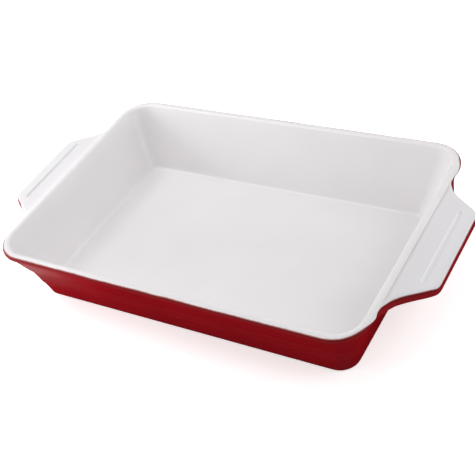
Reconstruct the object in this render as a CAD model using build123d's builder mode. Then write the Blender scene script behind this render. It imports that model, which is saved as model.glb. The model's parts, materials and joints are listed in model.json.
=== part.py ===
"""Oven dish for lasagna: pressed stoneware with two tab handles, white glaze inside, red glaze outside.

All sizes in millimetres. Z is up, X runs along the dish from handle to handle, and the origin
is under the middle of the dish, on the plane that it stands on. The dish is made twice: once
at its glazed size, and once set back by the glaze, which is the bare stoneware. What lies
between the two is the glaze, and the glaze line parts the white coat from the red one.
"""
from build123d import *
import math
import os

# Overall sizes of the glazed dish
rim_length = 360.0
rim_width = 243.0
rim_corner_radius = 30.0
dish_height = 62.5

# Rim: a soft lip that stands out a little over the wall below it
rim_thickness = 7.0
rim_outer_round = 2.4
rim_inner_round = 2.6
lip_depth = 5.5
lip_underside_rise = 2.0
lip_overhang = 2.2

# Outer wall: steep moulded tiers from the base up to the crease, then a flare up to the lip
base_setback_x = 22.0
base_setback_y = 21.3
base_edge_bevel = 1.6
tier_corner_radius = 17.0
tier_step = 0.5
tier_top_shares = (0.47, 1.0)
flare_height = 29.5
crease_setback = 13.6

# Inside: a flat floor and flared walls
floor_thickness = 7.7
floor_setback_x = 32.0
floor_setback_y = 38.5
floor_round = 10.0
inside_corner_radius = 22.0

# Foot: a bare ring that lifts the glazed underside off the shelf
foot_height = 1.0
foot_width = 6.0
foot_inset = 7.0
foot_edge_bevel = 0.4

# Handles: flat tabs that spring from under the lip
handle_reach = 32.5
handle_drop = 3.5
handle_thickness = 9.0
handle_root_setback = 53.5
handle_end_setback = 23.2
handle_corner_radius = 10.0
handle_root_radius = 26.0
handle_edge_round = 3.2
handle_top_blend = 5.5
handle_wall_blend = 8.0
handle_seat = 0.3

# Grip groove on top of each handle, along its outer edge
groove_width = 5.5
groove_floor_width = 2.6
groove_depth = 1.2
groove_end_clearance = 1.3
groove_edge_distance = 13.7

# Glaze, and how far the white coat wraps down over the edges before the red one starts
glaze_thickness = 0.5
glaze_wrap = 1.2

# Bevels that stand in for rounded edges where the glaze hides the stoneware, as shares of the
# radius: at the outer edges, and at the floor's edge, where the glaze runs together and is thicker
square_bevel_share = 0.586
floor_bevel_share = 0.33

# Overrun for cuts, so that no two faces meet by accident, and how closely two places match
overrun = 1.0
match = 0.1


# Outlines (length, width, corner radius) and heights that follow from the sizes

def grown(outline, step):
    """A rounded outline moved outwards by step all round."""
    length, width, radius = outline
    return (length + 2 * step, width + 2 * step, radius + step)


rim_outline = (rim_length, rim_width, rim_corner_radius)
lip_foot_outline = grown(rim_outline, -lip_overhang)
crease_outline = grown(rim_outline, -crease_setback)
base_outline = (rim_length - 2 * base_setback_x, rim_width - 2 * base_setback_y, tier_corner_radius)

crease_height = dish_height - flare_height
lip_foot_height = dish_height - lip_depth
lip_height = lip_foot_height + lip_underside_rise
lip_join_height = dish_height - rim_outer_round
flare_slope = (crease_setback - lip_overhang) / (lip_foot_height - crease_height)

handle_top = dish_height - handle_drop
handle_bottom = handle_top - handle_thickness
handle_end_x = rim_length / 2 + handle_reach
handle_root_width = rim_width - 2 * handle_root_setback
handle_end_width = handle_root_width - 2 * handle_end_setback
groove_length = handle_end_width - 2 * groove_end_clearance


def flare_half_length(height):
    """Half the outer length of the flared upper wall at this height."""
    return crease_outline[0] / 2 + flare_slope * (height - crease_height)


def inside_half_length(height):
    """Half the inner length of the dish at this height."""
    share = (dish_height - height) / (dish_height - floor_thickness)
    return rim_length / 2 - rim_thickness - (floor_setback_x - rim_thickness) * share


def tier_section(height, number, inset):
    """Height, length and width of a tier of the outer wall, tier 0 being the lowest."""
    share = (height - foot_height) / (crease_height - foot_height)
    step_out = tier_step * number - inset
    steps = tier_step * len(tier_top_shares)
    setback_x = base_setback_x + (crease_setback + steps - base_setback_x) * share - step_out
    setback_y = base_setback_y + (crease_setback + steps - base_setback_y) * share - step_out
    return (height, rim_length - 2 * setback_x, rim_width - 2 * setback_y)


# Solids of the tray

def flat_walled(low, high, corner_radius):
    """A block with four flat leaning walls between two (height, length, width) sections."""
    low_z, low_length, low_width = low
    high_z, high_length, high_width = high
    with BuildPart() as block:
        with BuildSketch(Plane.XZ):
            with BuildLine():
                Polyline(
                    (-low_length / 2, low_z),
                    (low_length / 2, low_z),
                    (high_length / 2, high_z),
                    (-high_length / 2, high_z),
                    close=True,
                )
            make_face()
        extrude(amount=high_width, both=True)
        with BuildSketch(Plane.YZ):
            with BuildLine():
                Polyline(
                    (-low_width / 2, low_z),
                    (low_width / 2, low_z),
                    (high_width / 2, high_z),
                    (-high_width / 2, high_z),
                    close=True,
                )
            make_face()
        extrude(amount=high_length, both=True, mode=Mode.INTERSECT)
        corners = block.edges().filter_by(Axis.X, reverse=True).filter_by(Axis.Y, reverse=True)
        fillet(corners, corner_radius)
    return block.part


def flaring(low_height, low_outline, high_height, growth):
    """A block whose outline grows evenly by growth on its way up."""
    rise = high_height - low_height
    with BuildPart() as block:
        with BuildSketch(Plane.XY.offset(low_height)):
            RectangleRounded(*low_outline)
        extrude(amount=rise, taper=-math.degrees(math.atan(growth / rise)))
    return block.part


def ease(edges, radius, inset):
    """Round an edge of the glazed dish, or bevel the stoneware's edge under it."""
    if inset:
        chamfer(edges, (radius - inset) * square_bevel_share)
    else:
        fillet(edges, radius)


def outside(inset):
    """The tray as a full block, set back by inset: tiers, flare and lip."""
    flare_foot = crease_height + inset
    flare_rise = lip_foot_height - flare_foot
    low_height = foot_height + inset
    with BuildPart() as block:
        for number, share in enumerate(tier_top_shares):
            high_height = foot_height + inset + (crease_height - foot_height) * share
            low = tier_section(low_height, number, inset)
            high = tier_section(high_height, number, inset)
            add(flat_walled(low, high, tier_corner_radius - inset))
            low_height = high_height
        flare_outline = grown(crease_outline, flare_slope * inset - inset)
        add(flaring(flare_foot, flare_outline, lip_foot_height, flare_slope * flare_rise))
        add(flaring(lip_foot_height, grown(lip_foot_outline, -inset), lip_height, lip_overhang))
        with BuildSketch(Plane.XY.offset(lip_height)):
            RectangleRounded(*grown(rim_outline, -inset))
        extrude(amount=dish_height - inset - lip_height)
        base_edges = block.faces().sort_by(Axis.Z)[0].edges()
        chamfer(base_edges, base_edge_bevel - inset * square_bevel_share)
        ease(block.faces().sort_by(Axis.Z)[-1].edges(), rim_outer_round, inset)
    return block.part


def hollow(inset):
    """The space inside the tray, grown by inset."""
    floor_section = (
        floor_thickness - inset,
        rim_length - 2 * floor_setback_x + 2 * inset,
        rim_width - 2 * floor_setback_y + 2 * inset,
    )
    mouth_section = (
        dish_height,
        rim_length - 2 * rim_thickness + 2 * inset,
        rim_width - 2 * rim_thickness + 2 * inset,
    )
    return flat_walled(floor_section, mouth_section, inside_corner_radius + inset)


# Handles

def handle_plan(inset):
    """The handle at +X from above, with its hollow roots and rounded corners."""
    seat_x = flare_half_length(handle_bottom) - inset
    end_x = handle_end_x - inset
    root_half = handle_root_width / 2 - inset
    end_half = handle_end_width / 2 - inset
    taper = (root_half - end_half) / handle_reach
    seat_half = root_half + taper * (rim_length / 2 - seat_x)
    turn = math.pi / 2 - math.atan(taper)
    root_radius = handle_root_radius + inset
    wide_half = seat_half + root_radius * math.tan(turn / 2) + overrun
    inner_x = inside_half_length(handle_bottom - handle_wall_blend)
    with BuildSketch() as plan:
        with BuildLine():
            Polyline(
                (inner_x, wide_half),
                (seat_x, wide_half),
                (seat_x, seat_half),
                (end_x, end_half),
                (end_x, -end_half),
                (seat_x, -seat_half),
                (seat_x, -wide_half),
                (inner_x, -wide_half),
                close=True,
            )
        make_face()
        fillet(plan.vertices().group_by(Axis.X)[-1], handle_corner_radius - inset)
        roots = plan.vertices().filter_by(lambda corner: abs(corner.X - seat_x) < match)
        fillet(roots.sort_by(Axis.Y)[1:3], root_radius)
    return plan.sketch


def handle_profile(inset):
    """The handle seen from the side: lip blend, flat top, end, underside and wall blend."""
    top = handle_top - inset
    bottom = handle_bottom + inset
    lip_x = rim_length / 2 - inset
    end_x = handle_end_x - inset
    blend_x = lip_x + handle_top_blend
    blend_angle = 2 * math.atan((lip_join_height - top) / handle_top_blend)
    inner_top_x = lip_x - rim_outer_round * math.cos(blend_angle)
    inner_top_z = lip_join_height + rim_outer_round * math.sin(blend_angle)
    seat_x = flare_half_length(bottom) - inset - handle_seat
    foot_z = bottom - handle_wall_blend
    foot_x = flare_half_length(foot_z) - inset - handle_seat
    inner_x = (foot_x + inside_half_length(foot_z)) / 2
    with BuildSketch(Plane.XZ) as profile:
        with BuildLine():
            Line((inner_top_x, inner_top_z), (lip_x, lip_join_height))
            TangentArc((blend_x, top), (lip_x, lip_join_height), tangent=(-1, 0))
            Polyline(
                (blend_x, top),
                (end_x, top),
                (end_x, bottom),
                (seat_x, bottom),
                (foot_x, foot_z),
                (inner_x, foot_z),
                (inner_top_x, inner_top_z),
            )
        make_face()
        low = profile.vertices().filter_by(lambda corner: abs(corner.Y - bottom) < match)
        fillet(low.sort_by(Axis.X)[0], handle_wall_blend)
    return profile.sketch


def runs_round(edge):
    """True for an edge that runs round the outline of the handle, above or below."""
    start, middle, end = edge @ 0, edge @ 0.5, edge @ 1
    upright = math.hypot(start.X - end.X, start.Y - end.Y) < match
    across = abs(start.X - end.X) < match
    near_end = middle.X > handle_end_x - overrun
    outside_lip = middle.X > rim_length / 2 - handle_top_blend / 2
    return outside_lip and not upright and (near_end or not across)


def handle(inset):
    """The handle at +X, set back by inset, with its eased edges and its grip groove."""
    groove_x = handle_end_x - groove_edge_distance
    groove_lean = math.degrees(math.atan((groove_width - groove_floor_width) / 2 / groove_depth))
    with BuildPart() as tab:
        extrude(handle_profile(inset), amount=handle_root_width, dir=(0, 1, 0), both=True)
        extrude(handle_plan(inset), amount=dish_height, dir=(0, 0, 1), mode=Mode.INTERSECT)
        ease(tab.edges().filter_by(runs_round), handle_edge_round, inset)
        with BuildSketch(Plane.XY.offset(handle_top - inset)):
            with Locations((groove_x, 0)):
                SlotOverall(groove_length + 2 * inset, groove_width + 2 * inset, rotation=90)
        extrude(amount=-groove_depth, taper=groove_lean, mode=Mode.SUBTRACT)
    return tab.part


# The whole dish, and the pieces

def dish(inset):
    """The dish without its foot, every surface set back by inset."""
    with BuildPart() as cavity:
        add(hollow(inset))
        floor_edges = cavity.faces().sort_by(Axis.Z)[0].edges()
        if inset:
            chamfer(floor_edges, (floor_round + inset) * floor_bevel_share)
        else:
            fillet(floor_edges, floor_round)
    tab = handle(inset)
    with BuildPart() as body:
        add(outside(inset))
        add(tab)
        add(tab.mirror(Plane.YZ))
        add(cavity.part, mode=Mode.SUBTRACT)
        crown = body.faces().sort_by(Axis.Z)[-1]
        ease(crown.inner_wires().edges(), rim_inner_round, inset)
    return body.part


def main():
    os.makedirs("parts", exist_ok=True)

    # Bare stoneware, with the foot ring that stays free of glaze
    with BuildPart() as stoneware_body:
        add(dish(glaze_thickness))
        with BuildSketch(Plane.XY):
            RectangleRounded(*grown(base_outline, -foot_inset))
            RectangleRounded(*grown(base_outline, -foot_inset - foot_width), mode=Mode.SUBTRACT)
        extrude(amount=foot_height + glaze_thickness + overrun)
        chamfer(stoneware_body.faces().sort_by(Axis.Z)[0].edges(), foot_edge_bevel)
    stoneware_body.part.label = "stoneware_body"

    # All of the glaze, as one coat round the stoneware
    with BuildPart() as coat:
        add(dish(0))
        add(stoneware_body.part, mode=Mode.SUBTRACT)

    # The room that the white glaze takes: the inside, the crown of the rim and the handle tops
    with BuildPart() as white_room:
        add(hollow(glaze_thickness + overrun))
        with BuildSketch(Plane.XY.offset(dish_height - glaze_wrap)):
            Rectangle(rim_length + 2 * overrun, rim_width + 2 * overrun)
        extrude(amount=glaze_wrap + overrun)
        with BuildSketch(Plane.XY.offset(handle_top - glaze_wrap)):
            add(handle_plan(-overrun))
            mirror(about=Plane.YZ)
        extrude(amount=glaze_wrap + handle_drop + overrun)
        with BuildSketch(Plane.XY.offset(handle_top - handle_thickness / 2)):
            add(handle_plan(handle_edge_round))
            mirror(about=Plane.YZ)
        extrude(amount=handle_thickness / 2 + overrun)

    with BuildPart() as inner_glaze:
        add(coat.part)
        add(white_room.part, mode=Mode.INTERSECT)
    inner_glaze.part.label = "inner_glaze"

    # The red glaze, in two pieces that the foot ring keeps apart
    with BuildPart() as red_coat:
        add(coat.part)
        add(white_room.part, mode=Mode.SUBTRACT)
    red_pieces = red_coat.part.solids().sort_by(Axis.Z)
    with BuildPart() as underside_glaze:
        add(red_pieces[0])
    underside_glaze.part.label = "underside_glaze"
    with BuildPart() as outer_glaze:
        add(red_pieces[-1])
    outer_glaze.part.label = "outer_glaze"

    for piece in (stoneware_body, inner_glaze, outer_glaze, underside_glaze):
        print(piece.part.label, len(piece.part.solids()), piece.part.is_valid, round(piece.part.volume))
        export_step(piece.part, f"parts/{piece.part.label}.step")


main()
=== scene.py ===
# %% [markdown]
# # A lasagna dish in two glazes
#
# This lesson dresses a rectangular oven dish. It is pressed from stoneware, with flared walls,
# a soft rim and a flat tab handle at each end. White glaze covers the inside, the crown of the
# rim and the tops of the handles, and red glaze covers the rest down to a bare foot ring.
# The measured model comes first, as a fixed frame that every new piece has to fit.

# %% Load the measured model
import json
import math
import bpy
import bmesh
from mathutils import Matrix, Vector

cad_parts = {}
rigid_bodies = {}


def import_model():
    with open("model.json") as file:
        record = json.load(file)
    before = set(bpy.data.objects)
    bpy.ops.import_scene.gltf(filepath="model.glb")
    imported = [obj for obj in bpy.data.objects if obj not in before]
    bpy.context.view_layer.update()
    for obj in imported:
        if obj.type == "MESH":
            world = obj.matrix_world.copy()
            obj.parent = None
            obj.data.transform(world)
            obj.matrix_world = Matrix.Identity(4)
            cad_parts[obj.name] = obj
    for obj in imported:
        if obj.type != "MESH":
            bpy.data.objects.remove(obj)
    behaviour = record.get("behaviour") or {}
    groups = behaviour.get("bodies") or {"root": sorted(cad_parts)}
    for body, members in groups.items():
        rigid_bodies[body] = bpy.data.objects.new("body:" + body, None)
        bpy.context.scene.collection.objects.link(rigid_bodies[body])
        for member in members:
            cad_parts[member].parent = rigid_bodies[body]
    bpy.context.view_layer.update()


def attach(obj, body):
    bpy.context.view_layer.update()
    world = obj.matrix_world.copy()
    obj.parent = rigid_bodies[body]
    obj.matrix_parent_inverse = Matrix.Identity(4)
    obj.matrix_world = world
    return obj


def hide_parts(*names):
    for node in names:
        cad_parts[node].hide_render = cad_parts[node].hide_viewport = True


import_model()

# %% [markdown]
# ## The camera
#
# A camera can be placed by eye, but here the rim, the base and the floor of the dish were
# measured in the photograph, and they give one place from which all three lines fall right.
# The camera looks down at about 40 degrees, past the front right corner, and is tilted a
# little, so the long walls run downhill to the right.

# %% Place the camera
camera_data = bpy.data.cameras.new("photo_camera")
camera_data.sensor_width = 36
camera_data.lens = 74.18
camera_data.clip_end = 20
camera = bpy.data.objects.new("photo_camera", camera_data)
bpy.context.scene.collection.objects.link(camera)

look = Vector((-0.48616, 0.59217, -0.64263))
right = Vector((0.85435, 0.47665, -0.20710))
up = Vector((-0.18367, 0.64971, 0.73765))
camera.matrix_world = Matrix((
    (right.x, up.x, -look.x, 0.43209),
    (right.y, up.y, -look.y, -0.52390),
    (right.z, up.z, -look.z, 0.58745),
    (0, 0, 0, 1),
))
bpy.context.scene.camera = camera
print("camera looks down by", round(math.degrees(math.asin(-look.z)), 1), "degrees")

# %% [markdown]
# ## Helpers for modelling by hand
#
# Most operators act on what is selected, and the loaded model comes in selected. So each new
# mesh starts with everything deselected, and points are then picked by where they are.

# %% Start a mesh and pick parts of it
MM = 0.001


def start_mesh(name):
    """A new empty mesh object, open in edit mode."""
    if bpy.context.mode != "OBJECT":
        bpy.ops.object.mode_set(mode="OBJECT")
    bpy.ops.object.select_all(action="DESELECT")
    mesh = bpy.data.meshes.new(name)
    piece = bpy.data.objects.new(name, mesh)
    bpy.context.scene.collection.objects.link(piece)
    bpy.context.view_layer.objects.active = piece
    piece.select_set(True)
    bpy.ops.object.mode_set(mode="EDIT")
    return piece


def pick(kind, test):
    """Select just the verts, edges or faces of the mesh in edit mode that pass the test."""
    mesh = bmesh.from_edit_mesh(bpy.context.object.data)
    bpy.ops.mesh.select_mode(type={"verts": "VERT", "edges": "EDGE", "faces": "FACE"}[kind])
    bpy.ops.mesh.select_all(action="DESELECT")
    found = 0
    for element in getattr(mesh, kind):
        if test(element):
            element.select_set(True)
            found += 1
    mesh.select_flush_mode()
    bmesh.update_edit_mesh(bpy.context.object.data)
    return found


def place_of(vert):
    """A point's place, rounded, so that places can be compared."""
    return tuple(round(c, 6) for c in vert.co)


# %% [markdown]
# ## One ring of the dish
#
# Seen from above, every level of the dish is a rectangle with rounded corners. A flat plane
# whose four corners are bevelled gives exactly that. Its straight sides are then divided, so
# that all rings have the same number of points and can be joined one to one.

# %% Add one ring
CORNER_STEPS = 8
SHORT_SIDE_STEPS = 16
LONG_SIDE_STEPS = 8


def selected_places():
    """The places of the selected points."""
    mesh = bmesh.from_edit_mesh(bpy.context.object.data)
    return {place_of(v) for v in mesh.verts if v.select}


def edges_between(places):
    """A test for edges that have both ends among these places."""
    return lambda edge: all(place_of(v) in places for v in edge.verts)


def open_ring(half_u, half_v, radius, steps, cuts_u, cuts_v, location, lean=0):
    """A rounded rectangle with no face, leaning about Y. Returns the places of its points."""
    bpy.ops.mesh.select_mode(type="VERT")
    bpy.ops.mesh.primitive_plane_add(size=2 * MM, location=location)
    bpy.ops.transform.resize(value=(half_u, half_v, 1), center_override=location)
    bpy.ops.mesh.bevel(offset=radius * MM, segments=steps, profile=0.5, affect="VERTICES")
    places = selected_places()
    bpy.ops.mesh.delete(type="ONLY_FACE")
    of_ring = edges_between(places)

    def straight(axis, length):
        def test(edge):
            run = edge.verts[1].co - edge.verts[0].co
            return of_ring(edge) and abs(abs(run[axis]) - length) < 1e-5
        return test

    ring = set(places)
    for axis, half, cuts in ((0, half_u, cuts_u), (1, half_v, cuts_v)):
        if cuts:
            pick("edges", straight(axis, 2 * (half - radius) * MM))
            bpy.ops.mesh.subdivide(number_cuts=cuts)
            ring |= selected_places()
    pick("verts", lambda v: not v.link_faces and place_of(v) in ring)
    if lean:
        bpy.ops.transform.rotate(value=lean, orient_axis="Y", center_override=location)
    return selected_places()


def level_ring(half_length, half_width, radius, height):
    """One level of the dish, in millimetres."""
    return open_ring(
        half_length, half_width, radius, CORNER_STEPS,
        LONG_SIDE_STEPS - 1, SHORT_SIDE_STEPS - 1, (0, 0, height * MM),
    )


def bridge(low_places, high_places):
    """Join two rings of equal count by one strip of faces."""
    pick("edges", edges_between(low_places | high_places))
    bpy.ops.mesh.bridge_edge_loops()


# %% [markdown]
# ## The levels from the foot to the floor
#
# The walls were read from the photograph as a list of levels. The outside goes up over two
# faint moulded tiers, flares out to the lip, turns round the rim and comes down the inside,
# where the upright corners get sharper, to a small round at the floor. A potter's profile
# gauge holds the same line.

# %% List the levels: half length, half width, corner radius, height
outer_levels = [
    (60.0, 24.0, 8.0, 1.06),
    (145.0, 87.2, 8.0, 1.04),
    (151.0, 93.2, 10.0, 1.02),
    (154.2, 96.4, 12.8, 0.85),
    (156.7, 98.9, 15.2, 0.32),
    (157.8, 100.0, 16.2, 0.45),
    (158.15, 100.3, 16.5, 1.5),
    (158.9, 101.0, 16.7, 6.0),
    (161.0, 103.0, 17.0, 14.6),
    (161.5, 103.5, 17.2, 16.0),
    (162.2, 104.1, 17.4, 17.2),
    (163.0, 104.9, 17.2, 22.8),
    (163.4, 105.3, 17.2, 23.8),
    (165.4, 106.9, 17.0, 31.6),
    (166.2, 107.7, 17.0, 33.0),
    (167.4, 108.9, 18.2, 34.8),
    (170.0, 111.5, 20.0, 40.6),
    (174.5, 116.0, 24.5, 50.0),
    (175.5, 117.0, 25.5, 52.2),
    (176.5, 118.0, 26.5, 54.2),
    (177.7, 119.2, 27.8, 56.9),
    (179.2, 120.7, 29.2, 57.4),
    (180.0, 121.5, 30.0, 58.8),
    (180.0, 121.5, 30.0, 60.2),
    (179.6, 121.1, 29.6, 61.5),
    (178.7, 120.2, 28.7, 62.2),
    (177.4, 118.9, 27.4, 62.5),
]

inner_levels = [
    (176.0, 117.5, 25.6, 62.48),
    (174.6, 116.1, 24.2, 62.35),
    (173.4, 114.9, 23.2, 61.9),
    (172.6, 114.1, 22.5, 61.1),
    (171.9, 113.2, 21.5, 59.8),
    (169.0, 109.6, 19.0, 53.7),
    (162.0, 100.8, 14.5, 38.4),
    (155.5, 92.6, 11.5, 24.2),
    (151.4, 87.3, 10.2, 15.0),
    (149.5, 84.9, 9.5, 10.9),
    (148.2, 83.5, 9.0, 8.9),
    (146.6, 81.9, 8.6, 8.0),
    (144.6, 80.0, 8.2, 7.74),
    (135.0, 70.8, 7.6, 7.7),
    (60.0, 24.0, 8.0, 7.66),
]
# Where the straight sides of the flare and the rim end, on each half.
STRAIGHT_X, STRAIGHT_Y = 150.0, 91.5
print(len(outer_levels) + len(inner_levels), "levels")

# %% Join the levels into one skin
skin = start_mesh("dish_skin")
below = level_ring(*outer_levels[0])
pick("edges", edges_between(below))
bpy.ops.mesh.edge_face_add()
for level in outer_levels[1:] + inner_levels:
    above = level_ring(*level)
    bridge(below, above)
    below = above
pick("edges", edges_between(below))
bpy.ops.mesh.edge_face_add()
print("skin of", len(bmesh.from_edit_mesh(skin.data).faces), "faces")

# %% [markdown]
# ## The handles
#
# On the real dish the handles are pressed with the walls, so they are drawn out of the same
# skin and not put on. A window is opened in each short wall, just under the rim, and sections
# are set in front of it: wide and leaning where the handle springs from the wall, then upright
# and narrower to the rounded end. Joined one to one, they make one continuous handle.

# %% List the sections: top x and z, bottom x and z, half width, edge round, side lift
ROOT_X, ROOT_HALF = 180.0, 68.0
END_HALF, HANDLE_REACH = 44.8, 32.5
EDGE_ROUND = 3.2
side_taper = (ROOT_HALF - END_HALF) / HANDLE_REACH


def side_half(x):
    """Half the handle's width on its straight side line."""
    return ROOT_HALF - side_taper * (x - ROOT_X)


handle_sections = [
    (180.7, 61.2, 176.2, 50.4, 78.0, 3.0, 2.6),
    (181.8, 60.75, 178.0, 50.1, 74.2, 3.0, 2.2),
    (183.2, 60.2, 180.4, 50.0, 70.6, 3.1, 1.6),
    (185.0, 59.6, 183.0, 50.0, 67.0, EDGE_ROUND, 1.0),
    (187.4, 59.15, 186.4, 50.0, 63.9, EDGE_ROUND, 0.4),
    (190.4, 59.0, 189.8, 50.0, 60.9, EDGE_ROUND, 0),
    (193.4, 59.0, 193.4, 50.0, 58.4, EDGE_ROUND, 0),
    (196.0, 59.0, 196.0, 50.0, side_half(196.0), EDGE_ROUND, 0),
    (198.8, 59.0, 198.8, 50.0, side_half(198.8), EDGE_ROUND, 0),
    (201.6, 59.0, 201.6, 50.0, side_half(201.6), EDGE_ROUND, 0),
    (204.6, 59.0, 204.6, 50.0, side_half(204.6), EDGE_ROUND, 0),
    (207.2, 59.0, 207.2, 50.0, side_half(207.2) - 0.2, EDGE_ROUND, 0),
    (209.2, 58.97, 209.2, 50.03, 46.6, EDGE_ROUND, 0),
    (210.6, 58.7, 210.6, 50.3, 44.9, 3.0, 0),
    (211.6, 58.1, 211.6, 50.9, 42.9, 2.6, 0),
    (212.25, 57.2, 212.25, 51.8, 40.5, 2.0, 0),
    (212.5, 55.9, 212.5, 53.1, 37.4, 1.2, 0),
]
WINDOW_LOW, WINDOW_HIGH = 50.0, 61.5
WINDOW_HALF = 86.0
WINDOW_X = 173.2
FLARE_X, FLARE_LOW = 165.0, 33.5


# %% Open the window and draw out the handle
def open_window(side):
    """Remove the wall where the handle springs from it, and return the window's edge."""
    edge_column = STRAIGHT_Y * (SHORT_SIDE_STEPS - 2) / SHORT_SIDE_STEPS

    def on_edge_column(vert):
        x, y, z = (c / MM for c in vert.co)
        return side * x > FLARE_X and abs(abs(y) - edge_column) < 0.5 and z > FLARE_LOW

    for way in (-1, 1):
        pick("verts", lambda v: on_edge_column(v) and v.co.y * way > 0)
        step = way * (WINDOW_HALF - edge_column) * MM
        bpy.ops.transform.translate(value=(0, step, 0))

    def in_window(face):
        x, y, z = (c / MM for c in face.calc_center_median())
        return side * x > WINDOW_X and abs(y) < WINDOW_HALF and WINDOW_LOW < z < WINDOW_HIGH

    count = pick("faces", in_window)
    bpy.ops.mesh.delete(type="FACE")
    mesh = bmesh.from_edit_mesh(bpy.context.object.data)
    rim = {place_of(v) for e in mesh.edges if e.is_boundary for v in e.verts}
    print("window of", count, "faces, edge of", len(rim), "points")
    return rim


def handle_ring(side, section):
    """One section of a handle, standing across the x direction, its lower sides lifted."""
    top_x, top_z, low_x, low_z, half_width, radius, lift = section
    rise = math.hypot(top_x - low_x, top_z - low_z)
    lean = math.atan2(-(top_z - low_z), side * (top_x - low_x))
    middle = (side * (top_x + low_x) / 2 * MM, 0, (top_z + low_z) / 2 * MM)
    places = open_ring(
        rise / 2, half_width, radius, 3, 0, SHORT_SIDE_STEPS - 3, middle, lean
    )
    if lift:
        outer = (half_width - radius - 0.5) * MM
        half_way = middle[2]
        lower_sides = {(x, y, z) for x, y, z in places if abs(y) >= outer and z <= half_way}
        pick("verts", lambda v: place_of(v) in lower_sides)
        bpy.ops.transform.translate(value=(0, 0, lift * MM))
        places = (places - lower_sides) | selected_places()
    return places


bpy.ops.mesh.select_all(action="SELECT")
bpy.ops.mesh.normals_make_consistent(inside=False)
for side in (-1, 1):
    inner_edge = open_window(side)
    for section in handle_sections:
        outer_edge = handle_ring(side, section)
        bridge(inner_edge, outer_edge)
        inner_edge = outer_edge
    pick("edges", edges_between(inner_edge))
    bpy.ops.mesh.edge_face_add()
bpy.ops.mesh.select_all(action="SELECT")
bpy.ops.mesh.normals_make_consistent(inside=False)
bpy.ops.object.mode_set(mode="OBJECT")
check = bmesh.new()
check.from_mesh(skin.data)
open_edges = sum(1 for e in check.edges if not e.is_manifold)
print("cage:", len(check.verts), "points,", len(check.faces), "faces,", open_edges, "open edges")
print("clay and glaze together:", round(check.calc_volume() * 1e6, 1), "ml")
check.free()

# %% [markdown]
# ## The grip groove
#
# A shallow groove runs along the top of each handle, so that a thumb in an oven glove finds
# it. The dish is pressed, so the groove has soft edges and a round bottom. A band of faces is
# inset once for its edge, and once more while it is pushed down for its floor.

# %% Press the grooves
GROOVE_START, GROOVE_MIDDLE, GROOVE_END = 196.0, 198.8, 201.6
GROOVE_HALF, GROOVE_SIDE_HALF = 43.6, 42.2
HANDLE_TOP = 58.9
END_COLUMN = (SHORT_SIDE_STEPS - 4) / (SHORT_SIDE_STEPS - 2)


def press_groove(side):
    """Move the nearest points to the groove's ends, then press its band down."""
    ends = (
        (GROOVE_START, GROOVE_SIDE_HALF),
        (GROOVE_MIDDLE, GROOVE_HALF),
        (GROOVE_END, GROOVE_SIDE_HALF),
    )
    for way in (-1, 1):
        for x, half in ends:
            near = END_COLUMN * (side_half(x) - EDGE_ROUND)

            def on_end(vert):
                vx, vy, vz = (c / MM for c in vert.co)
                at_end = abs(side * vx - x) < 0.1 and abs(way * vy - near) < 0.3
                return at_end and vz > HANDLE_TOP

            pick("verts", on_end)
            bpy.ops.transform.translate(value=(0, way * (half - near) * MM, 0))

    def on_band(face):
        x, y, z = (c / MM for c in face.calc_center_median())
        inside = GROOVE_START < side * x < GROOVE_END and abs(y) < GROOVE_HALF
        return inside and z > HANDLE_TOP

    count = pick("faces", on_band)
    bpy.ops.mesh.inset(thickness=0.35 * MM)
    bpy.ops.mesh.inset(thickness=0.75 * MM, depth=-0.75 * MM)
    bpy.ops.mesh.inset(thickness=0.6 * MM, depth=-0.45 * MM)
    print("groove pressed into", count, "faces")


bpy.ops.object.mode_set(mode="EDIT")
for side in (-1, 1):
    press_groove(side)
bpy.ops.object.mode_set(mode="OBJECT")

# %% [markdown]
# ## Who gets which glaze
#
# The dish is dipped twice. The white glaze covers the inside, the crown of the rim and the
# tops of the handles, and the red one the rest. The faces are sorted here, while they are
# few, and the smoothing below keeps what each one was sorted into.

# %% Sort the faces by their glaze
WHITE, RED, UNDERSIDE, BARE = range(4)
FOOT_X, FOOT_Y = 151.0, 93.2
PANEL_X, PANEL_Y = 145.0, 87.2
FLAT_TOP_START, FLAT_TOP_END, RED_EDGE = 182.5, 207.2, 4.6
ROOT_START, ROOT_LOW, ROOT_TOP_HALF = 176.0, 59.4, 72.0
CROWN_EDGE, INSIDE_SLOPE = 27.4, 0.47
handle_line = [(179.6, WINDOW_HALF)] + [(section[0], section[4]) for section in handle_sections]


def handle_half(x):
    """Half the handle's width at this distance from the middle."""
    for (x0, half0), (x1, half1) in zip(handle_line, handle_line[1:]):
        if x <= x1:
            return half0 + (half1 - half0) * (x - x0) / (x1 - x0)
    return handle_line[-1][1]


def glaze_of(face):
    """Which coat a face of the cage belongs to, from its place and the way it faces."""
    x, y, z = (abs(c) / MM for c in face.calc_center_median())
    up = face.normal.z
    if z < 1.5 and x < FOOT_X and y < FOOT_Y and up < -0.9:
        return UNDERSIDE if x < PANEL_X and y < PANEL_Y else BARE
    if x > FLAT_TOP_START and z > 57 and up > 0.6:
        return WHITE if x < FLAT_TOP_END and y < handle_half(x) - RED_EDGE else RED
    if x > ROOT_START and z > ROOT_LOW and up > 0.2 and y < ROOT_TOP_HALF:
        return WHITE
    outward = math.hypot(max(x - STRAIGHT_X, 0), max(y - STRAIGHT_Y, 0))
    return WHITE if z > 7 and outward < CROWN_EDGE - (62.5 - z) * INSIDE_SLOPE else RED


cage = bmesh.new()
cage.from_mesh(skin.data)
count = [0, 0, 0, 0]
for face in cage.faces:
    face.material_index = glaze_of(face)
    count[face.material_index] += 1
cage.to_mesh(skin.data)
cage.free()
print("white, red, underside and bare faces:", count)
for name in ("white", "red", "underside", "bare"):
    skin.data.materials.append(bpy.data.materials.new("sorted_" + name))

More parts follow.
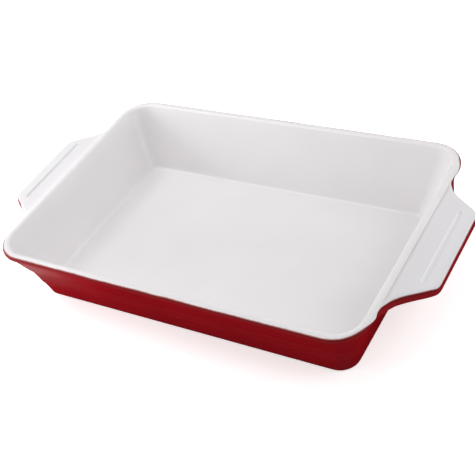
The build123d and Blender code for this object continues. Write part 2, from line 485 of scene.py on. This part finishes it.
# %% [markdown]
# ## The stoneware body
#
# Under the glaze is the fired clay. It is the same form set back by half a millimetre, and it
# shows in one place: the ring that the dish stands on, which is wiped clean of glaze so that
# the dish does not stick to the kiln shelf. The band of the ring is drawn out downwards.


# %% Make the body from a copy of the cage
SET_BACK = 0.5
RING_DROP = 0.9
RING_EDGE = 0.5


def smooth(piece, levels):
    """Round the cage off, the same in the view and in the render."""
    bpy.ops.object.select_all(action="DESELECT")
    bpy.context.view_layer.objects.active = piece
    piece.select_set(True)
    bpy.ops.object.modifier_add(type="SUBSURF")
    piece.modifiers[-1].levels = levels
    piece.modifiers[-1].render_levels = levels
    bpy.ops.object.modifier_apply(modifier=piece.modifiers[-1].name)
    bpy.ops.object.shade_smooth()


def settle_order():
    """Sort the faces by their points, because extruding leaves their order to chance."""
    mesh = bmesh.from_edit_mesh(bpy.context.object.data)
    mesh.verts.index_update()
    count = len(mesh.verts)

    def rank(face):
        first, second, third = sorted(v.index for v in face.verts)[:3]
        return float((first * count + second) * count + third)

    mesh.faces.sort(key=rank)
    bmesh.update_edit_mesh(bpy.context.object.data)


body = skin.copy()
body.data = skin.data.copy()
body.name = "fired_body"
bpy.context.scene.collection.objects.link(body)
smooth(body, 1)
bpy.ops.object.mode_set(mode="EDIT")
bpy.ops.mesh.select_all(action="SELECT")
bpy.ops.transform.shrink_fatten(value=-SET_BACK * MM, use_even_offset=True)
pick("faces", lambda face: face.material_index == BARE)
bpy.ops.mesh.extrude_region_move(TRANSFORM_OT_translate={"value": (0, 0, -RING_DROP * MM)})
lowest = min(v.co.z for v in bmesh.from_edit_mesh(body.data).verts)
bpy.ops.mesh.inset(thickness=RING_EDGE * MM)
bpy.ops.transform.resize(value=(1, 1, 0), center_override=(0, 0, lowest))
bpy.ops.transform.translate(value=(0, 0, -lowest))
settle_order()
bpy.ops.object.mode_set(mode="OBJECT")
body.data.materials.clear()
foot = min(v.co.z for v in body.data.vertices) / MM
print("body:", len(body.data.polygons), "faces, lowest point", round(foot, 3), "mm")

# %% [markdown]
# ## The coats of glaze
#
# The smoothed skin is cut where the glazes meet, and each coat gets its thickness inwards. A
# cut edge would shade a little differently on its two sides, so each point first notes which
# way the whole skin faces there, and the coats get these directions back at the end.

# %% Cut the skin into coats
smooth(skin, 2)
note = skin.data.attributes.new("whole_normal", "FLOAT_VECTOR", "POINT")
for point, normal in zip(note.data, skin.data.vertex_normals):
    point.vector = normal.vector
bpy.ops.object.mode_set(mode="EDIT")
pick("faces", lambda face: face.material_index == BARE)
bpy.ops.mesh.delete(type="FACE")
bpy.ops.mesh.select_all(action="SELECT")
bpy.ops.mesh.separate(type="MATERIAL")
bpy.ops.object.mode_set(mode="OBJECT")
coats = {}
for piece in bpy.context.selected_objects:
    lowest = min(v.co.z for v in piece.data.vertices) / MM
    highest = max(v.co.z for v in piece.data.vertices) / MM
    name = "red_underside" if highest < 2 else "red_glaze" if lowest < 2 else "white_glaze"
    coats[name] = piece
print({name: len(piece.data.polygons) for name, piece in coats.items()})


# %% Give each coat its thickness and its shading back
COAT_THICKNESS = 0.42


def thicken(piece):
    """Make a coat solid, and shade it by the directions that the whole skin had."""
    bpy.ops.object.select_all(action="DESELECT")
    bpy.context.view_layer.objects.active = piece
    piece.select_set(True)
    bpy.ops.object.modifier_add(type="SOLIDIFY")
    piece.modifiers[-1].thickness = COAT_THICKNESS * MM
    piece.modifiers[-1].offset = -1
    piece.modifiers[-1].use_even_offset = True
    bpy.ops.object.modifier_apply(modifier=piece.modifiers[-1].name)
    whole_normals = piece.data.attributes["whole_normal"]
    normals = []
    for face in piece.data.polygons:
        for corner in face.loop_indices:
            whole = whole_normals.data[piece.data.loops[corner].vertex_index].vector
            along = whole.dot(face.normal)
            normals.append(whole if along > 0.5 else -whole if along < -0.5 else face.normal)
    piece.data.normals_split_custom_set([tuple(n) for n in normals])
    piece.data.attributes.remove(piece.data.attributes["whole_normal"])


for name, piece in coats.items():
    piece.name = name + "_coat"
    thicken(piece)
    piece.data.materials.clear()
    print(piece.name, len(piece.data.polygons), "faces")

# %% [markdown]
# ## Building materials in code
#
# A material is a small graph. The helper adds one node, fills in its plain values, and joins
# up whatever is passed as a socket, so each finish below reads as a short list of steps.

# %% Helpers for node graphs
def socket_of(node, name):
    """The output of that name that is in use."""
    return next(s for s in node.outputs if s.name == name and s.enabled)


def fill(tree, target, value):
    """Join a socket to an input, or set the input's plain value."""
    if isinstance(value, bpy.types.NodeSocket):
        tree.links.new(value, target)
    else:
        target.default_value = value


def add(tree, kind, settings=None, **values):
    """A new node. Values go in by socket name with _ for a space, or by number as in_0, in_1."""
    node = tree.nodes.new(kind)
    for key, value in (settings or {}).items():
        setattr(node, key, value)
    for key, value in values.items():
        if key.startswith("in_"):
            target = node.inputs[int(key[3:])]
        else:
            label = key.replace("_", " ")
            target = next(s for s in node.inputs if s.name == label and s.enabled)
        fill(tree, target, value)
    return node


def math_node(tree, operation, a, b=0.0, clamp=False):
    """One step of arithmetic."""
    settings = {"operation": operation, "use_clamp": clamp}
    return socket_of(add(tree, "ShaderNodeMath", settings, in_0=a, in_1=b), "Value")


def soft_step(tree, value, start, end):
    """0 before start and 1 after end, with a soft change between."""
    settings = {"interpolation_type": "SMOOTHSTEP"}
    node = add(tree, "ShaderNodeMapRange", settings, Value=value, From_Min=start, From_Max=end)
    return socket_of(node, "Result")


def blend_colours(tree, factor, a, b):
    """Colour a where the factor is 0, and b where it is 1."""
    node = add(tree, "ShaderNodeMix", {"data_type": "RGBA"}, Factor=factor, A=a, B=b)
    return socket_of(node, "Result")


def noise(tree, place, scale, detail=2.0, roughness=0.5):
    """Cloudy values round 0.5, finer at a higher scale."""
    node = add(
        tree, "ShaderNodeTexNoise", Vector=place, Scale=scale, Detail=detail, Roughness=roughness
    )
    return socket_of(node, "Fac")


def new_group(name, inputs, outputs):
    """An empty shader group. Inputs and outputs are (name, kind) pairs."""
    tree = bpy.data.node_groups.new(name, "ShaderNodeTree")
    for label, kind in inputs:
        tree.interface.new_socket(label, in_out="INPUT", socket_type="NodeSocket" + kind)
    for label, kind in outputs:
        tree.interface.new_socket(label, in_out="OUTPUT", socket_type="NodeSocket" + kind)
    start = tree.nodes.new("NodeGroupInput")
    end = tree.nodes.new("NodeGroupOutput")
    return tree, start.outputs, end.inputs


def use_group(tree, group, **values):
    """Put a group into a material, fill its inputs, and return its outputs."""
    node = tree.nodes.new("ShaderNodeGroup")
    node.node_tree = group
    for key, value in values.items():
        fill(tree, node.inputs[key.replace("_", " ")], value)
    return node.outputs


def new_material(name):
    """An empty material with a Principled shader, and the place on the object in metres."""
    material = bpy.data.materials.new(name)
    material.use_nodes = True
    tree = material.node_tree
    shader = tree.nodes["Principled BSDF"]
    place = socket_of(tree.nodes.new("ShaderNodeTexCoord"), "Object")
    return material, tree, shader, place


# %% [markdown]
# ## What every glaze does
#
# Molten glaze flows a little. Its surface keeps a slow, shallow ripple, which makes the
# reflections waver, and its tone drifts by a few parts in a hundred from place to place. One
# group holds both, and each glaze sets how strong they are.

# %% The flow of a glaze, as a group
flow, given, result = new_group(
    "Glaze flow",
    [("Place", "Vector"), ("Drift", "Float"), ("Ripple", "Float")],
    [("Tone", "Float"), ("Height", "Float"), ("Sheen Drift", "Float")],
)
slow = noise(flow, given["Place"], 14.0, 2.0)
fine = noise(flow, given["Place"], 95.0, 2.0, 0.45)
drift = math_node(flow, "MULTIPLY", math_node(flow, "SUBTRACT", slow, 0.5), given["Drift"])
flow.links.new(math_node(flow, "ADD", drift, 1.0), result["Tone"])
swell = math_node(flow, "MULTIPLY", slow, 4.0)
height = math_node(flow, "MULTIPLY", math_node(flow, "ADD", swell, fine), given["Ripple"])
flow.links.new(height, result["Height"])
flow.links.new(math_node(flow, "SUBTRACT", fine, 0.5), result["Sheen Drift"])
print("group:", flow.name)

# %% [markdown]
# ## Where the red glaze begins
#
# The dish is dipped in red by hand, so the line where it begins wavers softly just under the
# crown of the rim. Where a handle begins it drops in a curve to the handle's edge. The line
# is a height that wavers with a slow noise. It tilts a little along the dish, sags at the
# right handle's end and climbs at the left handle's near corner.
#
# Red says where the red glaze lies. Thin is where it runs out over the white to a warm grey
# brown. The third output is a band of painted shade just under the line, where the lip turns
# down from the light. The last output marks the left handle's outer end, where the white is
# painted grey as painted shade on the edge that turns away from the light.

# %% The glaze line, as a group
line, given, result = new_group(
    "Glaze line",
    [
        ("Place", "Vector"), ("Rim Line", "Float"), ("Handle Line", "Float"),
        ("Tilt", "Float"), ("Waver", "Float"),
    ],
    [("Red", "Float"), ("Thin", "Float"), ("Lip_Shade", "Float"), ("End_Shade", "Float")],
)
END_WALL = (0.1700, 0.1740)
HANDLE_SIDE = (0.1020, 0.0775)
SAG_PLACE, SAG = (0.2065, 0.2115), 0.0007
CORNER_X, CORNER_Y, CORNER_CLIMB = (-0.1930, -0.1990), (-0.030, -0.040), 0.0013
# Painted shade: where the left handle's outer end is painted grey.
END_SHADE_PLACE = (-0.2092, -0.2101)

axes = add(line, "ShaderNodeSeparateXYZ", Vector=given["Place"])
along, across = socket_of(axes, "X"), socket_of(axes, "Y")
at_end = soft_step(line, math_node(line, "ABSOLUTE", along), *END_WALL)
at_side = soft_step(line, math_node(line, "ABSOLUTE", across), *HANDLE_SIDE)
on_handle = math_node(line, "MULTIPLY", at_end, at_side)
side_tilt = math_node(line, "MULTIPLY", along, given["Tilt"])
handle_level = math_node(line, "ADD", given["Handle Line"], side_tilt)
drop = math_node(line, "SUBTRACT", handle_level, given["Rim Line"])
level = math_node(line, "ADD", given["Rim Line"], math_node(line, "MULTIPLY", drop, on_handle))
sag = math_node(line, "MULTIPLY", soft_step(line, along, *SAG_PLACE), SAG)
level = math_node(line, "SUBTRACT", level, sag)
near_corner = math_node(
    line, "MULTIPLY", soft_step(line, along, *CORNER_X), soft_step(line, across, *CORNER_Y)
)
level = math_node(line, "ADD", level, math_node(line, "MULTIPLY", near_corner, CORNER_CLIMB))
wander = math_node(line, "SUBTRACT", noise(line, given["Place"], 26.0, 2.0), 0.5)
crumb = math_node(line, "SUBTRACT", noise(line, given["Place"], 260.0, 3.0), 0.5)
wobble = math_node(line, "ADD", wander, math_node(line, "MULTIPLY", crumb, 0.35))
level = math_node(line, "ADD", level, math_node(line, "MULTIPLY", wobble, given["Waver"]))
below = math_node(line, "SUBTRACT", level, socket_of(axes, "Z"))
line.links.new(soft_step(line, below, -0.00012, 0.00030), result["Red"])
rise = soft_step(line, below, -0.0003, 0.0001)
fall = soft_step(line, below, 0.0001, 0.0009)
thin = math_node(line, "MULTIPLY", rise, math_node(line, "SUBTRACT", 1.0, fall))
line.links.new(thin, result["Thin"])
# Painted shade: a dark band just under the line, where the lip turns down from the light.
rise = soft_step(line, below, 0.0002, 0.0008)
fall = soft_step(line, below, 0.0010, 0.0024)
lip_shade = math_node(line, "MULTIPLY", rise, math_node(line, "SUBTRACT", 1.0, fall))
line.links.new(lip_shade, result["Lip_Shade"])
# Painted shade: the last output marks the left handle's outer end, painted grey.
line.links.new(soft_step(line, along, *END_SHADE_PLACE), result["End_Shade"])
print("group:", line.name)

# %% [markdown]
# ## White glaze
#
# The inside is a milky white that leans to violet grey, because the clay under it is grey. On
# the handle tops the white is painted greyer, as painted shade. It is glossy but not like glass,
# so its roughness is low and drifts a little with the flow, and its shine is weaker than plain.

# %% White glaze
WHITE_TONE = (0.865, 0.845, 0.860, 1)
WHITE_SHADE = (0.800, 0.780, 0.785, 1)
# Painted shade: the grey that the handle tops are painted towards.
HANDLE_SHADE_TONE = (0.715, 0.715, 0.735, 1)


def white_colour(tree, place):
    """The white glaze's colour and flow, with painted shade on the handle tops, which the red
    coat needs too, above its line.
    """
    moves = use_group(tree, flow, Place=place, Drift=0.3, Ripple=1.0)
    tone = soft_step(tree, moves["Tone"], 0.80, 1.20)
    colour = blend_colours(tree, tone, WHITE_SHADE, WHITE_TONE)
    axes = add(tree, "ShaderNodeSeparateXYZ", Vector=place)
    out = math_node(tree, "ABSOLUTE", socket_of(axes, "X"))
    # Painted shade: the white is painted greyer on the handle tops.
    handle_shade = math_node(tree, "MULTIPLY", soft_step(tree, out, 0.1800, 0.1850), 0.4)
    return blend_colours(tree, handle_shade, colour, HANDLE_SHADE_TONE), moves


white, tree, shader, place = new_material("milky_white_glaze")
colour, moves = white_colour(tree, place)
tree.links.new(colour, shader.inputs["Base Color"])
rough = math_node(tree, "ADD", math_node(tree, "MULTIPLY", moves["Sheen Drift"], 0.08), 0.13)
tree.links.new(rough, shader.inputs["Roughness"])
shader.inputs["Specular IOR Level"].default_value = 0.4
bump = add(tree, "ShaderNodeBump", Strength=0.25, Distance=0.00020, Height=moves["Height"])
tree.links.new(bump.outputs["Normal"], shader.inputs["Normal"])
print("material:", white.name)

# %% [markdown]
# ## Red glaze
#
# The outside is a deep cherry red. It is painted darker under the lip and along the tiers, as
# painted shade, and runs thin along the glaze line. Above that line the coat is painted with the
# white glaze, so that the join of the two coats is not seen. Just under the line lies a band of
# painted shade, and the left handle's outer end is painted grey as painted shade. Its gloss is a
# thin clear layer, the coat, which is stronger on faces turned to the viewer and at the dish's
# left end.

# %% Red glaze
RED_TONE = (0.290, 0.0060, 0.0110, 1)
RED_DEEP = (0.165, 0.0030, 0.0050, 1)
THIN_TONE = (0.480, 0.250, 0.215, 1)
# Painted shade: the dark red painted just under the glaze line.
LIP_SHADE_TONE = (0.070, 0.0055, 0.0050, 1)
# Painted shade: the grey painted on the left handle's outer end.
END_SHADE_TONE = (0.440, 0.425, 0.425, 1)
# Painted shade: the heights of the dark lines painted along the tiers and under the lip.
TIER_SHADE_LINES = (0.0160, 0.0233, 0.0326)
UNDER_LIP_SHADE_HEIGHT = 0.0571

red, tree, shader, place = new_material("cherry_red_glaze")
colour, moves = white_colour(tree, place)
shades = use_group(tree, flow, Place=place, Drift=1.0, Ripple=1.0)
marks = use_group(
    tree, line, Place=place, Rim_Line=0.06225, Handle_Line=0.0579, Tilt=0.0025, Waver=0.0007
)
axes = add(tree, "ShaderNodeSeparateXYZ", Vector=place)
height = socket_of(axes, "Z")
# Painted shade along the tier lines and under the lip, made patchy by a noise.
painted_shade = 0.0
for tier in TIER_SHADE_LINES:
    away = math_node(tree, "ABSOLUTE", math_node(tree, "SUBTRACT", height, tier))
    tier_shade = math_node(tree, "SUBTRACT", 1.0, soft_step(tree, away, 0.0002, 0.0011))
    painted_shade = math_node(tree, "ADD", painted_shade, tier_shade)
patchy = soft_step(tree, noise(tree, place, 30.0, 2.0), 0.35, 0.65)
strength = math_node(tree, "ADD", math_node(tree, "MULTIPLY", patchy, 0.35), 0.15)
painted_shade = math_node(tree, "MULTIPLY", painted_shade, strength)
away = math_node(tree, "ABSOLUTE", math_node(tree, "SUBTRACT", height, UNDER_LIP_SHADE_HEIGHT))
under_lip_shade = soft_step(tree, away, 0.0009, 0.0002)
painted_shade = math_node(tree, "MAXIMUM", painted_shade, math_node(tree, "MULTIPLY", under_lip_shade, 0.35))
tone = soft_step(tree, shades["Tone"], 0.75, 1.25)
dim = math_node(tree, "MULTIPLY", math_node(tree, "SUBTRACT", 1.0, tone), 0.35)
# The darker red mixes the painted shade with a random drift of tone.
deep = math_node(tree, "MAXIMUM", painted_shade, dim, clamp=True)
cherry = blend_colours(tree, deep, RED_TONE, RED_DEEP)
# Painted shade in a band just under the glaze line.
lip_shaded = math_node(tree, "MULTIPLY", marks["Lip_Shade"], 0.45)
cherry = blend_colours(tree, lip_shaded, cherry, LIP_SHADE_TONE)
# Painted shade: the white above the line is painted grey at the left handle's outer end.
end_shaded = math_node(tree, "MULTIPLY", marks["End_Shade"], 0.9)
colour = blend_colours(tree, end_shaded, colour, END_SHADE_TONE)
dipped = blend_colours(tree, marks["Red"], colour, cherry)
fade = math_node(tree, "MULTIPLY", marks["Thin"], 0.30)
tree.links.new(blend_colours(tree, fade, dipped, THIN_TONE), shader.inputs["Base Color"])
rough = math_node(tree, "ADD", math_node(tree, "MULTIPLY", shades["Sheen Drift"], 0.12), 0.32)
tree.links.new(rough, shader.inputs["Roughness"])
shader.inputs["Specular IOR Level"].default_value = 0.0
shader.inputs["Coat Roughness"].default_value = 0.18
facing = add(tree, "ShaderNodeLayerWeight", Blend=0.5)
gloss = math_node(tree, "SUBTRACT", 1.0, soft_step(tree, facing.outputs["Facing"], 0.25, 0.80))
shine = math_node(tree, "ADD", math_node(tree, "MULTIPLY", gloss, 0.16), 0.01)
left = soft_step(tree, socket_of(axes, "X"), -0.060, -0.150)
left_end = math_node(tree, "MULTIPLY", left, soft_step(tree, height, 0.008, 0.040))
shine = math_node(tree, "ADD", shine, math_node(tree, "MULTIPLY", left_end, 0.30))
tree.links.new(shine, shader.inputs["Coat Weight"])
bump = add(tree, "ShaderNodeBump", Strength=0.4, Distance=0.0003, Height=shades["Height"])
tree.links.new(bump.outputs["Normal"], shader.inputs["Normal"])
tree.links.new(bump.outputs["Normal"], shader.inputs["Coat Normal"])
print("material:", red.name)

# %% [markdown]
# ## Bare stoneware
#
# The foot ring is fired clay, warm grey and dull, with dark iron specks and a sandy feel.

# %% Bare stoneware
clay, tree, shader, place = new_material("bare_stoneware")
grain = noise(tree, place, 700.0, 4.0, 0.6)
cloud = noise(tree, place, 20.0, 2.0)
specks = socket_of(add(tree, "ShaderNodeTexVoronoi", Vector=place, Scale=420.0), "Distance")
base = blend_colours(tree, cloud, (0.50, 0.41, 0.32, 1), (0.63, 0.54, 0.44, 1))
base = blend_colours(tree, soft_step(tree, specks, 0.16, 0.06), base, (0.16, 0.11, 0.08, 1))
tree.links.new(base, shader.inputs["Base Color"])
tree.links.new(soft_step(tree, grain, -0.9, 0.9), shader.inputs["Roughness"])
bump = add(tree, "ShaderNodeBump", Strength=0.6, Distance=0.0003, Height=grain)
tree.links.new(bump.outputs["Normal"], shader.inputs["Normal"])
print("material:", clay.name)

# %% [markdown]
# ## Each piece gets its finish
#
# The panel under the dish is the same red glaze as the outside, so both coats share one
# material.

# %% Put the finishes on
finishes = (
    (body, clay, "stoneware"),
    (coats["white_glaze"], white, "white_glaze"),
    (coats["red_glaze"], red, "red_glaze"),
    (coats["red_underside"], red, "red_glaze"),
)
for piece, finish, slot_name in finishes:
    piece.data.materials.append(finish)
    print(piece.name, "wears", finish.name)

# %% [markdown]
# ## Floor and background
#
# The photograph shows the dish on plain white. The floor is pale paper that takes the dish's
# shadow and also glows for the camera alone, more strongly far away, so that it turns white.
# From below it is clear, so that the underside can be seen. The world behind it is white for
# the camera and for reflections, but lights the dish only softly.

# %% Floor and world
start_mesh("studio_floor")
bpy.ops.mesh.primitive_plane_add(size=8, location=(0, 0, -0.0002))
bpy.ops.object.mode_set(mode="OBJECT")
floor = bpy.context.object
paper, tree, shader, place = new_material("studio_paper")
mottle = noise(tree, place, 3.0, 2.0)
pale = blend_colours(tree, mottle, (0.90, 0.90, 0.90, 1), (0.93, 0.93, 0.93, 1))
tree.links.new(pale, shader.inputs["Base Color"])
shader.inputs["Roughness"].default_value = 0.9
shader.inputs["Specular IOR Level"].default_value = 0.1
away = add(tree, "ShaderNodeVectorMath", {"operation": "LENGTH"}, in_0=place).outputs["Value"]
extra = math_node(tree, "MULTIPLY", soft_step(tree, away, 0.35, 0.90), 0.25)
strength = math_node(tree, "ADD", extra, 0.58)
glow = add(tree, "ShaderNodeEmission", Color=(1, 1, 1, 1), Strength=strength)
nothing = add(tree, "ShaderNodeEmission", Color=(0, 0, 0, 1), Strength=0.0)
rays = tree.nodes.new("ShaderNodeLightPath").outputs
lift = add(
    tree, "ShaderNodeMixShader",
    in_0=rays["Is Camera Ray"], in_1=nothing.outputs[0], in_2=glow.outputs[0],
)
both = add(tree, "ShaderNodeAddShader", in_0=shader.outputs[0], in_1=lift.outputs[0])
clear = tree.nodes.new("ShaderNodeBsdfTransparent")
under = tree.nodes.new("ShaderNodeNewGeometry").outputs["Backfacing"]
sheet = add(
    tree, "ShaderNodeMixShader", in_0=under, in_1=both.outputs[0], in_2=clear.outputs[0]
)
tree.links.new(sheet.outputs[0], tree.nodes["Material Output"].inputs["Surface"])
floor.data.materials.append(paper)

world = bpy.data.worlds.new("white_studio")
bpy.context.scene.world = world
world.use_nodes = True
tree = world.node_tree
ambient = tree.nodes["Background"]
ambient.inputs["Color"].default_value = (1.0, 0.985, 1.0, 1)
ambient.inputs["Strength"].default_value = 0.30
backdrop = add(tree, "ShaderNodeBackground", Color=(1, 1, 1, 1), Strength=1.0)
rays = tree.nodes.new("ShaderNodeLightPath").outputs
seen = math_node(tree, "MAXIMUM", rays["Is Camera Ray"], rays["Is Glossy Ray"])
seen = math_node(tree, "MAXIMUM", seen, rays["Is Transmission Ray"])
choice = add(
    tree, "ShaderNodeMixShader",
    in_0=seen, in_1=ambient.outputs[0], in_2=backdrop.outputs[0],
)
tree.links.new(choice.outputs[0], tree.nodes["World Output"].inputs["Surface"])
bpy.context.scene.view_settings.view_transform = "Standard"
print("floor and world are set")

# %% [markdown]
# ## The lamps
#
# The light falls from the upper left and loses strength to the right: the left handle is
# nearly white in the photograph and the right one a light grey. A soft box close to the left
# does that. Weaker ones fill in from the right and the back, and two small low ones light the
# left handle's edge and the left end of the red wall. Three of the lamps are kept out of
# reflections, because they would show in the glazes as hard bright patches.


# %% Hang the lamps
WIDE, SMALL = 0.6, 0.25


def soft_box(name, place, size, power):
    """A square soft lamp that faces the dish and isn't seen by the camera."""
    data = bpy.data.lights.new(name, "AREA")
    data.shape = "RECTANGLE"
    data.size = size
    data.size_y = size
    data.energy = power
    box = bpy.data.objects.new(name, data)
    box.location = place
    box.rotation_euler = (-Vector(place)).to_track_quat("-Z", "Y").to_euler()
    box.visible_camera = False
    bpy.context.scene.collection.objects.link(box)
    return box


soft_box("key_box", (-0.45, 0.0, 0.78), WIDE, 3.4)
left_box = soft_box("left_box", (-0.78, 0.0, 0.45), WIDE, 1.5)
soft_box("right_box", (0.78, 0.0, 0.45), WIDE, 1.75)
soft_box("back_box", (0.551, 0.551, 0.45), WIDE, 1.8)
low_left_box = soft_box("low_left_box", (-0.594, 0.0, 0.084), SMALL, 0.5)
low_corner_box = soft_box("low_corner_box", (-0.42, -0.42, 0.084), SMALL, 1.8)
for lamp in (left_box, low_left_box, low_corner_box):
    lamp.visible_glossy = False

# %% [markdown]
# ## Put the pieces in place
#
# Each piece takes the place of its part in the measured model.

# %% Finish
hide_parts("stoneware_body")
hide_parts("inner_glaze")
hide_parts("outer_glaze")
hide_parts("underside_glaze")
for piece in [body] + list(coats.values()):
    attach(piece, "root")
for old in [m for m in bpy.data.materials if m.name.startswith("sorted_")]:
    bpy.data.materials.remove(old)
